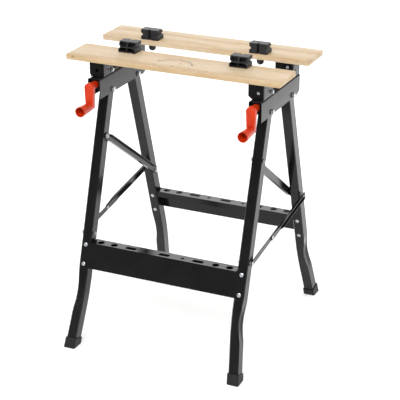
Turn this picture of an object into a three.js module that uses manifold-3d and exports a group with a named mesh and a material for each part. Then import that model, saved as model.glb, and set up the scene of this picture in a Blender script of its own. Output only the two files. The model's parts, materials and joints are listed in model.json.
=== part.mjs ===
import * as THREE from 'three';
import { mergeVertices } from 'three/addons/utils/BufferGeometryUtils.js';
import Module from 'manifold-3d';

const wasm = await Module();
wasm.setup();

// Millimetres. X runs along the boards, -Y is the crank side, Z is up from the floor.
const clearance = 0.3;
const boltPlay = 0.3;

const board = { length: 605, width: 110, thick: 15, top: 793, edge: 1.2, corner: 3 };
const frontBoardY = -109;
const rearBoardY = 95;
const boardUnder = board.top - board.thick;

// Jaw pegs sit 20 mm in from the jaw edge of each board.
const dog = { x: 159, frontY: -74, rearY: 60, width: 50, depth: 36, height: 28, slope: 9.5 };
const dogPeg = { radius: 10, length: 34, bowl: 9, play: 0.4 };
const dogGroove = { depth: 9, halfWidth: 4 };
const dogNotch = { depth: 6, halfHeight: 5 };
const dogCell = { wall: 2.5, depth: 19, rib: 2.5 };

const rail = { x: 230, width: 36, sheet: 1.8, bend: 6, front: -147, rear: 125, bottom: 674, top: 729 };
const railCorner = { run: 19, rise: 7 };
const railSlot = { width: 12, from: -47, to: 118 };

const pivot = { y: 75, z: 682, radius: 4, headRadius: 7.5, headThick: 5 };
const tilt = THREE.MathUtils.degToRad(17.5);

// Leg tube: its lower end is kinked outward so the feet stand wider than the rails.
const leg = { width: 28, depth: 32.5, wall: 1.8, corner: 2.5, above: 11 };
const legKink = { down: 563, footShift: 14, dent: 1.4, dentReach: 42 };
const legBottom = 701;
const floorDown = pivot.z / Math.cos(tilt);
const cap = { wall: 2.2, height: 24, corner: 2 };

const bar = { halfLength: 241, sheet: 1.6, topDown: 421.5, height: 70.5, corner: 6 };
const barFlange = { depth: 32, halfLength: 213, lip: 17, holeReach: 13.6 };
const roundHoleX = [-190, -150, 150, 190];
const slotX = [-99, 0, 99];
const smallHoleX = [-54, 54];
const barHole = { round: 9.7, small: 5, slotHalfLength: 15.5, slotHalfWidth: 7, slotCorner: 3.5 };

// Stay pivots, measured down the leg from its own pivot bolt.
const stayDown = { upper: 128, rear: 342, lower: 397 };
const kneeFromRear = 238.5;
const innerStay = { width: 19, sheet: 1.5, depth: 10, off: 0.5 };
const outerStay = { width: 15.5, sheet: 1.5, depth: 5, off: 5.8, flangeEnd: 182, taper: 16 };
const link = { width: 14, thick: 2.5, off: 3, tail: 58 };
const stayBolt = { radius: 3, headRadius: 6, headThick: 4, spacerRadius: 5 };

const foot = { front: -131, rear: -70, sheet: 1.8, bend: 3, holeY: -99, holeZ: 746, holeRadius: 4 };
const footBolt = { y: -77.5, z: 737, radius: 3, headRadius: 6, headThick: 4 };
// The same end block serves both sides, so its chamfer and hole face the same way on each.
const block = { inner: 24, outer: 18, front: -136, cutWide: 11, cutHigh: 8, plugRear: -100 };
const blockHole = { x: 4, z: 748, radius: 4.6, depth: 20 };

const spindle = { z: 711, radius: 5, front: -171, rear: 120 };
const bush = { front: -138, rear: -124, bottom: 695 };
const clip = { inner: 5.2, outer: 8.2, thick: 2, mouth: 0.9 };
const crank = { throwLength: 51, hubRadius: 10, armFront: -178, armRear: -162, armTop: 13, armLow: 11, edge: 3 };
const grip = { front: -227, floor: -215, rootRadius: 11.4, mouthRadius: 14.2, wall: 2.2 };

const carriage = { front: 62, rear: 120, bottom: 730 };
const glide = { front: 50, flangeRear: 61.5, rear: 122, halfFlange: 25, flangeBottom: 738, slit: 3 };
const nut = { y: 95, halfWidth: 11, halfLength: 11, bottom: 702, top: 721, neck: 5, neckTop: 759 };

const paintedBlack = { color: 0x1d1d1f, roughness: 0.42, metalness: 0.35 };
const paintedGrey = { color: 0x37383a, roughness: 0.3, metalness: 0.3 };
const zinc = { color: 0xb9bcc0, roughness: 0.32, metalness: 0.9 };
const wood = { color: 0xe6cda6, roughness: 0.55, metalness: 0 };
const blackPlastic = { color: 0x17181a, roughness: 0.5, metalness: 0 };
const greyPlastic = { color: 0x4b4b4e, roughness: 0.5, metalness: 0 };
const orangePlastic = { color: 0xe23f1c, roughness: 0.3, metalness: 0 };
const brass = { color: 0xb88a3c, roughness: 0.35, metalness: 0.9 };

const bench = new THREE.Group();
bench.name = 'folding_workbench';

function solidOf(geometry) {
  const bare = new THREE.BufferGeometry();
  bare.setAttribute('position', geometry.getAttribute('position'));
  bare.setIndex(geometry.index);
  const welded = mergeVertices(bare, 1e-4);
  const corners = welded.index.array;
  const kept = [];
  for (let i = 0; i < corners.length; i += 3) {
    const [a, b, c] = [corners[i], corners[i + 1], corners[i + 2]];
    if (a !== b && b !== c && c !== a) {
      kept.push(a, b, c);
    }
  }
  return new wasm.Manifold(new wasm.Mesh({
    numProp: 3,
    vertProperties: new Float32Array(welded.getAttribute('position').array),
    triVerts: new Uint32Array(kept),
  }));
}

function geometryOf(solid) {
  const mesh = solid.getMesh();
  const geometry = new THREE.BufferGeometry();
  geometry.setAttribute('position', new THREE.BufferAttribute(mesh.vertProperties, 3));
  geometry.setIndex(new THREE.BufferAttribute(mesh.triVerts, 1));
  geometry.computeVertexNormals();
  return geometry;
}

function join(...parts) {
  return geometryOf(parts.map(solidOf).reduce((whole, next) => whole.add(next)));
}

function cut(body, ...tools) {
  return geometryOf(tools.map(solidOf).reduce((whole, tool) => whole.subtract(tool), solidOf(body)));
}

function common(first, second) {
  return geometryOf(solidOf(first).intersect(solidOf(second)));
}

function mirrored(geometry) {
  const flipped = join(geometry).scale(-1, 1, 1);
  const corners = flipped.index.array;
  for (let i = 0; i < corners.length; i += 3) {
    [corners[i], corners[i + 1]] = [corners[i + 1], corners[i]];
  }
  flipped.computeVertexNormals();
  return flipped;
}

function handed(geometry, side) {
  return side > 0 ? geometry : mirrored(geometry);
}

function box(x0, x1, y0, y1, z0, z1) {
  const geometry = new THREE.BoxGeometry(x1 - x0, y1 - y0, z1 - z0);
  return geometry.translate((x0 + x1) / 2, (y0 + y1) / 2, (z0 + z1) / 2);
}

function rodX(radius, x0, x1, y, z, sides = 14) {
  const geometry = new THREE.CylinderGeometry(radius, radius, x1 - x0, sides).rotateZ(Math.PI / 2);
  return geometry.translate((x0 + x1) / 2, y, z);
}

function rodY(radius, y0, y1, x, z, sides = 20) {
  const geometry = new THREE.CylinderGeometry(radius, radius, y1 - y0, sides);
  return geometry.translate(x, (y0 + y1) / 2, z);
}

function rodZ(radius, z0, z1, x, y, sides = 18) {
  const geometry = new THREE.CylinderGeometry(radius, radius, z1 - z0, sides).rotateX(Math.PI / 2);
  return geometry.translate(x, y, (z0 + z1) / 2);
}

function polygon(points) {
  return new THREE.Shape(points.map(([a, b]) => new THREE.Vector2(a, b)));
}

function extrude(shape, depth, bevel, arc, steps = 1) {
  return new THREE.ExtrudeGeometry(shape, {
    depth: depth - 2 * bevel,
    bevelEnabled: bevel > 0,
    bevelThickness: bevel,
    bevelSize: bevel,
    bevelOffset: -bevel,
    bevelSegments: steps,
    curveSegments: arc,
  }).translate(0, 0, bevel);
}

// Outline in (y, z), swept along X.
function alongX(shape, x0, x1, bevel = 0, arc = 2) {
  const turn = new THREE.Matrix4().makeBasis(
    new THREE.Vector3(0, 1, 0), new THREE.Vector3(0, 0, 1), new THREE.Vector3(1, 0, 0));
  return extrude(shape, x1 - x0, bevel, arc).applyMatrix4(turn).translate(x0, 0, 0);
}

// Outline in (x, z), swept along Y.
function alongY(shape, y0, y1, bevel = 0, arc = 2, steps = 1) {
  return extrude(shape, y1 - y0, bevel, arc, steps).rotateX(Math.PI / 2).translate(0, y1, 0);
}

// Outline in (x, y), swept along Z.
function alongZ(shape, z0, z1, bevel = 0, arc = 2) {
  return extrude(shape, z1 - z0, bevel, arc).translate(0, 0, z0);
}

function roundedRect(a0, a1, b0, b1, radius) {
  const shape = new THREE.Shape();
  shape.absarc(a1 - radius, b0 + radius, radius, -Math.PI / 2, 0);
  shape.absarc(a1 - radius, b1 - radius, radius, 0, Math.PI / 2);
  shape.absarc(a0 + radius, b1 - radius, radius, Math.PI / 2, Math.PI);
  shape.absarc(a0 + radius, b0 + radius, radius, Math.PI, Math.PI * 1.5);
  shape.closePath();
  return shape;
}

function arch(halfWidth, bottom, top, radius) {
  const shape = new THREE.Shape();
  shape.moveTo(-halfWidth, bottom);
  shape.lineTo(halfWidth, bottom);
  shape.absarc(halfWidth - radius, top - radius, radius, 0, Math.PI / 2);
  shape.absarc(radius - halfWidth, top - radius, radius, Math.PI / 2, Math.PI);
  shape.closePath();
  return shape;
}

function stadium(start, end, halfWidth) {
  const shape = new THREE.Shape();
  shape.absarc(end, 0, halfWidth, -Math.PI / 2, Math.PI / 2);
  shape.absarc(start, 0, halfWidth, Math.PI / 2, Math.PI * 1.5);
  shape.closePath();
  return shape;
}

function piece(name, geometry, finish, parent) {
  const mesh = new THREE.Mesh(geometry, new THREE.MeshStandardMaterial(finish));
  mesh.name = name;
  parent.add(mesh);
  return mesh;
}

function place(parent, x, y, z, turnX = 0) {
  const group = new THREE.Group();
  group.position.set(x, y, z);
  group.rotation.x = turnX;
  parent.add(group);
  return group;
}

function boardPanel(pegY) {
  const outline = roundedRect(
    -board.length / 2, board.length / 2, -board.width / 2, board.width / 2, board.corner);
  const holes = [-1, 1].map((side) => rodZ(
    dogPeg.radius + dogPeg.play, boardUnder - 1, board.top + 1, side * dog.x, pegY));
  return cut(alongZ(outline, boardUnder, board.top, board.edge), ...holes);
}

// Two columns of open cells in the back; each follows the V notch in its own end of the peg.
function dogCells() {
  const half = dog.depth / 2;
  const end = dog.width / 2;
  const middle = dog.height / 2;
  const { wall, rib, depth } = dogCell;
  const outline = (column, row) => polygon([
    [rib / 2, rib / 2], [end - dogNotch.depth - wall, rib / 2],
    [end - wall, dogNotch.halfHeight + wall / 2], [end - wall, middle - wall], [rib / 2, middle - wall],
  ].map(([x, z]) => [column * x, middle + row * z]));
  return [[-1, -1], [-1, 1], [1, -1], [1, 1]].map(([column, row]) => alongY(
    outline(column, row), -half - 1, depth - half));
}

// Jaw face towards +Y with an upright V groove, a level V notch across each end, sloping hollow back.
function dogBody() {
  const half = dog.depth / 2;
  const end = dog.width / 2;
  const middle = dog.height / 2;
  const body = alongX(polygon([
    [-half, 0], [half, 0], [half, dog.height], [dog.slope - half, dog.height], [-half, middle],
  ]), -end, end);
  const upright = alongZ(polygon([
    [-dogGroove.halfWidth, half + 0.01], [0, half - dogGroove.depth], [dogGroove.halfWidth, half + 0.01],
  ]), -1, dog.height + 1);
  const notches = [-1, 1].map((side) => alongY(polygon([
    [side * (end + 0.01), middle - dogNotch.halfHeight], [side * (end - dogNotch.depth), middle],
    [side * (end + 0.01), middle + dogNotch.halfHeight],
  ]), -half - 1, half + 1));
  const bowl = [0, 1, 2, 3].map((step) => new THREE.Vector2(
    dogPeg.radius * Math.sin(step * Math.PI / 6),
    dogPeg.bowl * (1 - Math.cos(step * Math.PI / 6)) - dogPeg.length));
  const peg = new THREE.LatheGeometry(
    [...bowl, new THREE.Vector2(dogPeg.radius, 1), new THREE.Vector2(0, 1)], 18).rotateX(Math.PI / 2);
  return join(cut(body, upright, ...notches, ...dogCells()), peg);
}

function railChannel() {
  const half = rail.width / 2;
  const section = alongY(arch(half, rail.bottom, rail.top, rail.bend), rail.front, rail.rear, 0, 3);
  const side = alongX(polygon([
    [rail.front, rail.bottom], [rail.rear - railCorner.run, rail.bottom],
    [rail.rear, rail.bottom + railCorner.rise], [rail.rear, rail.top], [rail.front, rail.top],
  ]), -half - 1, half + 1);
  const hollow = alongY(
    arch(half - rail.sheet, rail.bottom - 1, rail.top - rail.sheet, rail.bend - rail.sheet),
    rail.front - 1, rail.rear + 1, 0, 3);
  const slotRadius = railSlot.width / 2;
  const slot = alongZ(
    roundedRect(-slotRadius, slotRadius, railSlot.from, railSlot.to, slotRadius - 0.5),
    rail.top - 2 * rail.sheet, rail.top + 1);
  const holes = [-1, 1].map((end) => rodX(
    pivot.radius + boltPlay, -half - 1, half + 1, end * pivot.y, pivot.z));
  return cut(common(section, side), hollow, slot, ...holes);
}

function bracket(front, rear, bottom, holes) {
  const half = rail.width / 2;
  const top = boardUnder - clearance;
  const outer = alongY(arch(half, bottom, top, foot.bend), front, rear);
  const inner = alongY(
    arch(half - foot.sheet, bottom - 1, top - foot.sheet, foot.bend - foot.sheet), front - 1, rear + 1);
  return cut(outer, inner, ...holes);
}

function frontFoot() {
  const reach = rail.width;
  return bracket(foot.front, foot.rear, rail.top + clearance, [
    rodX(foot.holeRadius, -reach, reach, foot.holeY, foot.holeZ),
    rodX(footBolt.radius + boltPlay, -reach, reach, footBolt.y, footBolt.z),
  ]);
}

// Head on the outer end, nut on the inner end, one shank between them.
function bolt(radius, inner, outer, headRadius, headThick) {
  return join(
    rodX(radius, inner - 1, outer + 1, 0, 0),
    rodX(headRadius, outer, outer + headThick, 0, 0, 6),
    rodX(headRadius, inner - headThick, inner, 0, 0, 6));
}

function endBlock(side) {
  const left = side > 0 ? -block.inner : -block.outer;
  const right = side > 0 ? block.outer : block.inner;
  const top = boardUnder - clearance;
  const bottom = rail.top + clearance;
  const face = alongY(polygon([
    [left + block.cutWide, bottom], [right, bottom], [right, top], [left, top], [left, bottom + block.cutHigh],
  ]), block.front, foot.front - clearance, 1);
  const inside = rail.width / 2 - foot.sheet - clearance;
  const plug = alongY(
    arch(inside, bottom + 1, top - foot.sheet - clearance, foot.bend / 2), foot.front - 2, block.plugRear);
  const hole = rodY(
    blockHole.radius, block.front - 1, block.front + blockHole.depth, blockHole.x, blockHole.z);
  return cut(join(face, plug), hole);
}

function spindleBush() {
  const inside = rail.width / 2 - rail.sheet - clearance;
  const body = alongY(
    arch(inside, bush.bottom, rail.top - rail.sheet - clearance, rail.bend - rail.sheet), bush.front, bush.rear);
  const bore = rodY(spindle.radius + boltPlay, bush.front - 1, bush.rear + 1, 0, spindle.z);
  return cut(body, bore);
}

function spindleRod() {
  const chamfer = 1.2;
  return new THREE.LatheGeometry([
    new THREE.Vector2(0, spindle.front), new THREE.Vector2(spindle.radius - chamfer, spindle.front),
    new THREE.Vector2(spindle.radius, spindle.front + chamfer),
    new THREE.Vector2(spindle.radius, spindle.rear - chamfer),
    new THREE.Vector2(spindle.radius - chamfer, spindle.rear), new THREE.Vector2(0, spindle.rear),
  ], 20).translate(0, 0, spindle.z);
}

function spindleClip() {
  const shape = new THREE.Shape();
  shape.absarc(0, 0, clip.outer, -Math.PI / 2 + clip.mouth, Math.PI * 1.5 - clip.mouth);
  shape.absarc(0, 0, clip.inner, Math.PI * 1.5 - clip.mouth, -Math.PI / 2 + clip.mouth, true);
  shape.closePath();
  const front = bush.rear + clearance;
  return alongY(shape, front, front + clip.thick, 0, 6).translate(0, 0, spindle.z);
}

// Hub, hanging arm and hollow grip are one moulding; the grip is open at its front end.
function crankMoulding() {
  const hubRear = bush.front - clearance;
  const hub = rodY(crank.hubRadius, crank.armFront + 2, hubRear, 0, 0);
  const arm = new THREE.Shape();
  arm.absarc(0, 0, crank.armTop, 0, Math.PI);
  arm.absarc(0, -crank.throwLength, crank.armLow, Math.PI, Math.PI * 2);
  arm.closePath();
  const shell = new THREE.LatheGeometry([
    new THREE.Vector2(0, grip.front), new THREE.Vector2(grip.mouthRadius - 0.8, grip.front),
    new THREE.Vector2(grip.mouthRadius, grip.front + 0.8),
    new THREE.Vector2(grip.rootRadius, crank.armFront + 3), new THREE.Vector2(0, crank.armFront + 3),
  ], 24);
  const hollow = new THREE.LatheGeometry([
    new THREE.Vector2(0, grip.front - 1), new THREE.Vector2(grip.mouthRadius - grip.wall, grip.front - 1),
    new THREE.Vector2(grip.rootRadius - grip.wall, grip.floor), new THREE.Vector2(0, grip.floor),
  ], 24);
  const cup = cut(shell, hollow).translate(0, 0, -crank.throwLength);
  const socket = rodY(spindle.radius + boltPlay, spindle.front - clearance, hubRear + 1, 0, 0);
  const web = alongY(arm, crank.armFront, crank.armRear, crank.edge, 5, 2);
  return cut(join(hub, web, cup), socket).translate(0, 0, spindle.z);
}

function carriageBracket() {
  return bracket(carriage.front, carriage.rear, carriage.bottom, [
    rodX(foot.holeRadius, -rail.width, rail.width, carriage.rear - (foot.holeY - foot.front), foot.holeZ),
  ]);
}

// Slides on the rail; its wide front flange shows in the jaw gap.
function carriageGlide() {
  const inside = rail.width / 2 - foot.sheet - clearance;
  const top = boardUnder - clearance - foot.sheet - clearance;
  const body = alongY(
    arch(inside, rail.top + clearance, top, foot.bend / 2), glide.flangeRear - 1, glide.rear);
  const flange = alongY(
    roundedRect(-glide.halfFlange, glide.halfFlange, glide.flangeBottom, boardUnder - clearance, 3),
    glide.front, glide.flangeRear, 1);
  const pocket = box(
    -nut.neck - clearance, nut.neck + clearance,
    nut.y - nut.halfLength, nut.y + nut.halfLength, rail.top - 1, nut.neckTop + clearance);
  const slit = box(
    -glide.slit / 2, glide.slit / 2, glide.front - 1, glide.front + 4,
    glide.flangeBottom - 1, boardUnder + 1);
  return cut(join(body, flange), pocket, slit);
}

function travelNut() {
  const low = nut.y - nut.halfLength;
  const high = nut.y + nut.halfLength;
  const body = box(-nut.halfWidth, nut.halfWidth, low, high, nut.bottom, nut.top);
  const neck = box(-nut.neck, nut.neck, low + clearance, high - clearance, nut.top - 1, nut.neckTop);
  const bore = rodY(spindle.radius + boltPlay, low - 1, high + 1, 0, spindle.z);
  return cut(join(body, neck), bore);
}

// Bent strip in (x, z) of the leg's own frame, z measured down from the pivot bolt.
// The outer wall is crushed in a little where the tube is bent.
function legStrip(halfWidth, top, down) {
  const lean = legKink.footShift / (floorDown - legKink.down);
  const shiftAt = (depth) => Math.max(0, depth - legKink.down) * lean;
  const crush = [2, 1, 0, -1, -2].map((step) => {
    const depth = legKink.down + step * legKink.dentReach / 2;
    const inset = legKink.dent * (1 - step * step / 4);
    return [halfWidth + shiftAt(depth) - inset, -depth];
  });
  return polygon([
    [-halfWidth, top], [-halfWidth, -legKink.down], [shiftAt(down) - halfWidth, -down],
    [shiftAt(down) + halfWidth, -down], ...crush, [halfWidth, top],
  ]);
}

function legTube(boltDowns) {
  const halfX = leg.width / 2;
  const halfY = leg.depth / 2;
  const spare = 2 * leg.corner;
  const outer = alongY(legStrip(halfX, leg.above + spare, legBottom + spare), -halfY, halfY, leg.corner);
  const hollow = alongY(
    legStrip(halfX - leg.wall, leg.above + 1, legBottom + 1), leg.wall - halfY, halfY - leg.wall);
  const topTrim = box(-60, 60, -60, 60, leg.above, leg.above + 60);
  const bottomTrim = box(-60, 60, -60, 60, -legBottom - 60, -legBottom);
  const pivotHole = rodX(pivot.radius + boltPlay, -halfX - 1, halfX + 1, 0, 0);
  const boltHoles = boltDowns.map((down) => rodX(stayBolt.radius + boltPlay, -halfX - 1, halfX + 1, 0, -down));
  return cut(outer, hollow, topTrim, bottomTrim, pivotHole, ...boltHoles);
}

// Pushed over the tube end and cut level with the floor.
function footCap(lean) {
  const halfX = leg.width / 2 + clearance;
  const halfY = leg.depth / 2 + clearance;
  const top = -(floorDown - cap.height);
  const band = box(-80, 80, -80, 80, -floorDown - 60, top);
  const sleeve = alongY(
    legStrip(halfX + cap.wall, 0, floorDown + 40), -halfY - cap.wall, halfY + cap.wall, cap.corner);
  const socket = alongY(legStrip(halfX, 0, legBottom + clearance), -halfY, halfY);
  const ground = box(-200, 200, -400, 400, -200, 0).translate(0, 0, -pivot.z).rotateX(-lean);
  return cut(common(sleeve, band), socket, ground);
}

// Plate on the outer face of a pair of legs; the level top flange holds the tools and ends in a lip.
function crossbar() {
  const face = -leg.depth / 2 - clearance;
  const top = -bar.topDown;
  const plate = alongY(
    roundedRect(-bar.halfLength, bar.halfLength, top - bar.height, top, bar.corner), face - bar.sheet, face);
  const along = [Math.cos(tilt), Math.sin(tilt)];
  const start = [face - bar.sheet, top - 0.2];
  const point = (run, fall) => [
    start[0] + run * along[0] + fall * along[1], start[1] + run * along[1] - fall * along[0],
  ];
  const { depth, lip, halfLength } = barFlange;
  const flange = alongX(polygon([
    point(0, 0), point(0, bar.sheet), point(depth - bar.sheet, bar.sheet),
    point(depth - bar.sheet, lip), point(depth, lip), point(depth, 0),
  ]), -halfLength, halfLength);
  const holeCentre = point(barFlange.holeReach, 0);
  const drill = (shape) => shape.rotateX(tilt).translate(0, ...holeCentre);
  const holes = [
    ...roundHoleX.map((x) => drill(rodZ(barHole.round, -8, 8, x, 0))),
    ...smallHoleX.map((x) => drill(rodZ(barHole.small, -8, 8, x, 0, 12))),
    ...slotX.map((x) => drill(alongZ(roundedRect(
      x - barHole.slotHalfLength, x + barHole.slotHalfLength,
      -barHole.slotHalfWidth, barHole.slotHalfWidth, barHole.slotCorner), -8, 8))),
  ];
  return cut(join(plate, flange), ...holes);
}

// Pressed channel from (0, 0) to (length, 0) in (y, z), web at x = 0, flanges towards +X.
function stayBody(spec, length, flangeFrom, flangeTo, taper) {
  const half = spec.width / 2;
  const web = alongX(stadium(0, length, half), 0, spec.sheet, 0, 4);
  const side = polygon([
    [0, flangeFrom], [spec.depth, flangeFrom + 3], [spec.depth, flangeTo - taper],
    [spec.sheet, flangeTo], [0, flangeTo],
  ]);
  return join(web, alongZ(side, half - spec.sheet, half), alongZ(side, -half, spec.sheet - half));
}

// Its rear end carries the rivet head that bears on the rear leg.
function innerStayBar(length) {
  const hole = rodX(stayBolt.radius + boltPlay, -1, innerStay.sheet + 1, 0, 0);
  const rivet = rodX(stayBolt.headRadius - 0.5, 0.2, innerStay.sheet + 2.5, length, 0);
  const inset = innerStay.width * 0.6;
  const bar = join(cut(stayBody(innerStay, length, inset, length - inset, 3), hole), rivet);
  return mirrored(bar).translate(-leg.width / 2 - innerStay.off, 0, 0);
}

function outerStayBar() {
  const holes = [0, kneeFromRear].map((y) => rodX(
    stayBolt.radius + boltPlay, -1, outerStay.sheet + 1, y, 0));
  return cut(stayBody(outerStay, kneeFromRear, -4, outerStay.flangeEnd, outerStay.taper), ...holes)
    .translate(leg.width / 2 + outerStay.off, 0, 0);
}

function stayLink(length) {
  const holes = [0, length].map((y) => rodX(stayBolt.radius + boltPlay, -1, link.thick + 1, y, 0));
  return cut(alongX(stadium(-link.tail, length, link.width / 2), 0, link.thick, 0, 4), ...holes)
    .translate(leg.width / 2 + link.off, 0, 0);
}

function upperStayBolt() {
  const half = leg.width / 2;
  return bolt(
    stayBolt.radius, -half - innerStay.off - innerStay.sheet - clearance, half + clearance,
    stayBolt.headRadius, stayBolt.headThick);
}

function rearStayBolt() {
  const face = leg.width / 2;
  const web = face + outerStay.off;
  const seat = web + outerStay.sheet + clearance;
  return join(
    rodX(stayBolt.radius, -face, seat + 1, 0, 0),
    rodX(stayBolt.spacerRadius, face + clearance, web - clearance, 0, 0),
    rodX(stayBolt.headRadius, seat, seat + stayBolt.headThick, 0, 0, 6));
}

function lowerStayPin() {
  const face = leg.width / 2;
  const near = face + link.off;
  const seat = near + link.thick + clearance;
  return join(
    rodX(stayBolt.radius, near - 1, seat + 1, 0, 0),
    rodX(stayBolt.spacerRadius, face + clearance, near - clearance, 0, 0),
    rodX(stayBolt.spacerRadius, seat, seat + 3, 0, 0));
}

function lowerStayNut() {
  const seat = -leg.width / 2 - clearance;
  return join(
    rodX(stayBolt.headRadius, seat - stayBolt.headThick, seat, 0, 0, 6),
    rodX(stayBolt.radius, seat - stayBolt.headThick - 2, leg.width / 2, 0, 0));
}

function kneeRivet() {
  const face = leg.width / 2;
  const inner = face + link.off - clearance;
  const outer = face + outerStay.off + outerStay.sheet + clearance;
  return join(
    rodX(stayBolt.radius, inner - 1, outer + 1, 0, 0),
    rodX(stayBolt.spacerRadius, inner - 1.9, inner, 0, 0),
    rodX(stayBolt.spacerRadius, outer, outer + 2.4, 0, 0));
}

const legPoint = (end, down) => new THREE.Vector2(
  end * (pivot.y + down * Math.sin(tilt)), pivot.z - down * Math.cos(tilt));
const upperPoint = legPoint(-1, stayDown.upper);
const lowerPoint = legPoint(-1, stayDown.lower);
const rearPoint = legPoint(1, stayDown.rear);
const stayLength = upperPoint.distanceTo(rearPoint);
const linkLength = rearPoint.distanceTo(lowerPoint) - kneeFromRear;
const kneePoint = rearPoint.clone().lerp(lowerPoint, kneeFromRear / rearPoint.distanceTo(lowerPoint));
const stayTurn = (from, to) => Math.atan2(to.y - from.y, to.x - from.x);

const frontStand = place(bench, 0, -pivot.y, pivot.z, -tilt);
const rearStand = place(bench, 0, pivot.y, pivot.z, tilt);

piece('front_board', boardPanel(dog.frontY - frontBoardY), wood, place(bench, 0, frontBoardY, 0));
piece('rear_board', boardPanel(dog.rearY - rearBoardY), wood, place(bench, 0, rearBoardY, 0));
piece('front_crossbar', crossbar(), paintedBlack, frontStand);
piece('rear_crossbar', crossbar(), paintedBlack, rearStand).rotation.z = Math.PI;

for (const [hand, side] of [['left', -1], ['right', 1]]) {
  const own = (name, geometry, finish, parent) => piece(
    `${hand}_${name}`, handed(geometry, side), finish, parent);
  const flank = place(bench, side * rail.x, 0, 0);
  own('rail', railChannel(), paintedGrey, flank);
  own('front_jaw_foot', frontFoot(), paintedGrey, flank);
  piece(`${hand}_front_end_block`, endBlock(side), blackPlastic, flank);
  own('spindle_bush', spindleBush(), blackPlastic, flank);
  own('spindle', spindleRod(), zinc, flank);
  own('spindle_clip', spindleClip(), zinc, flank);
  own('crank', crankMoulding(), orangePlastic, flank);
  own('rear_carriage', carriageBracket(), paintedGrey, flank);
  own('carriage_glide', carriageGlide(), blackPlastic, flank);
  own('travel_nut', travelNut(), brass, flank);
  const footSeat = rail.width / 2 + clearance;
  own('foot_bolt', bolt(footBolt.radius, -footSeat, footSeat, footBolt.headRadius, footBolt.headThick), zinc,
    place(flank, 0, footBolt.y, footBolt.z));

  const frontPeg = place(bench, side * dog.x, dog.frontY, board.top + clearance);
  piece(`${hand}_front_dog`, dogBody(), greyPlastic, frontPeg);
  const rearPeg = place(bench, side * dog.x, dog.rearY, board.top + clearance);
  piece(`${hand}_rear_dog`, dogBody(), greyPlastic, rearPeg).rotation.z = Math.PI;

  const frontHang = place(frontStand, side * rail.x, 0, 0);
  const rearHang = place(rearStand, side * rail.x, 0, 0);
  own('front_leg', legTube([stayDown.upper, stayDown.lower]), paintedBlack, frontHang);
  own('rear_leg', legTube([stayDown.rear]), paintedBlack, rearHang);
  own('front_foot_cap', footCap(-tilt), blackPlastic, frontHang);
  own('rear_foot_cap', footCap(tilt), blackPlastic, rearHang);
  const pivotSeat = rail.width / 2 + clearance;
  const pivotBolt = () => bolt(pivot.radius, -pivotSeat, pivotSeat, pivot.headRadius, pivot.headThick);
  own('front_pivot_bolt', pivotBolt(), zinc, place(flank, 0, -pivot.y, pivot.z));
  own('rear_pivot_bolt', pivotBolt(), zinc, place(flank, 0, pivot.y, pivot.z));

  const upper = place(flank, 0, upperPoint.x, upperPoint.y, stayTurn(upperPoint, rearPoint));
  own('inner_stay', innerStayBar(stayLength), paintedBlack, upper);
  own('upper_stay_bolt', upperStayBolt(), zinc, place(frontHang, 0, 0, -stayDown.upper));
  const rear = place(flank, 0, rearPoint.x, rearPoint.y, stayTurn(rearPoint, lowerPoint));
  own('stay_channel', outerStayBar(), paintedBlack, rear);
  own('rear_stay_bolt', rearStayBolt(), zinc, place(rearHang, 0, 0, -stayDown.rear));
  const knee = place(flank, 0, kneePoint.x, kneePoint.y, stayTurn(rearPoint, lowerPoint));
  own('stay_link', stayLink(linkLength), paintedBlack, knee);
  own('knee_rivet', kneeRivet(), zinc, knee);
  own('lower_stay_pin', lowerStayPin(), zinc, place(knee, 0, linkLength, 0));
  own('lower_stay_nut', lowerStayNut(), zinc, place(frontHang, 0, 0, -stayDown.lower));
}

export default bench;
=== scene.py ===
import bpy
import bmesh
import json
import math
from mathutils import Matrix, Vector

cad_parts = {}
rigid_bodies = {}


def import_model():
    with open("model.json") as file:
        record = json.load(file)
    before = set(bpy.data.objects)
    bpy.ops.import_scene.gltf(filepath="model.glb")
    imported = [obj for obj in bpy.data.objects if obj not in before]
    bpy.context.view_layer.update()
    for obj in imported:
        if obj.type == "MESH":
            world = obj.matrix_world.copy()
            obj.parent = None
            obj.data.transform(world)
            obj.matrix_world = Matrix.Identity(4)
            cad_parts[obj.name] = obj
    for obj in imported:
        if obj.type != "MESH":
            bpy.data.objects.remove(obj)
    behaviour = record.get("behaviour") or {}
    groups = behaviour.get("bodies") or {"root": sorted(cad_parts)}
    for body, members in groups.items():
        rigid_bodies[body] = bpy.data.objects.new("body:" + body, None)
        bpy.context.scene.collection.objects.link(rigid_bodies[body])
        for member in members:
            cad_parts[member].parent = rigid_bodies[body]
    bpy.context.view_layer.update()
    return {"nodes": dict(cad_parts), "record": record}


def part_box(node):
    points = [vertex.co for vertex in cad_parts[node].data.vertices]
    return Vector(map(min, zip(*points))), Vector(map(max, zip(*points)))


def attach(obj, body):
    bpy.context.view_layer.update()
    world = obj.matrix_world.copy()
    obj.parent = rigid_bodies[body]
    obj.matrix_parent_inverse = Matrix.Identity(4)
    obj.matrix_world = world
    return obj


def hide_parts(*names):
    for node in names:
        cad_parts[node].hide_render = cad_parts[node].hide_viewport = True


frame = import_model()
nodes = frame["nodes"]
mm = 0.001
hands = ("left", "right")
ends = ("front", "rear")
print("frame loaded:", len(nodes), "solids")


def linear(hexColour):
    # sRGB hex to the linear values that the shaders take
    parts = [int(hexColour[i:i + 2], 16) / 255 for i in (1, 3, 5)]
    return tuple(c / 12.92 if c <= 0.04045 else ((c + 0.055) / 1.055) ** 2.4 for c in parts) + (1.0,)


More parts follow.
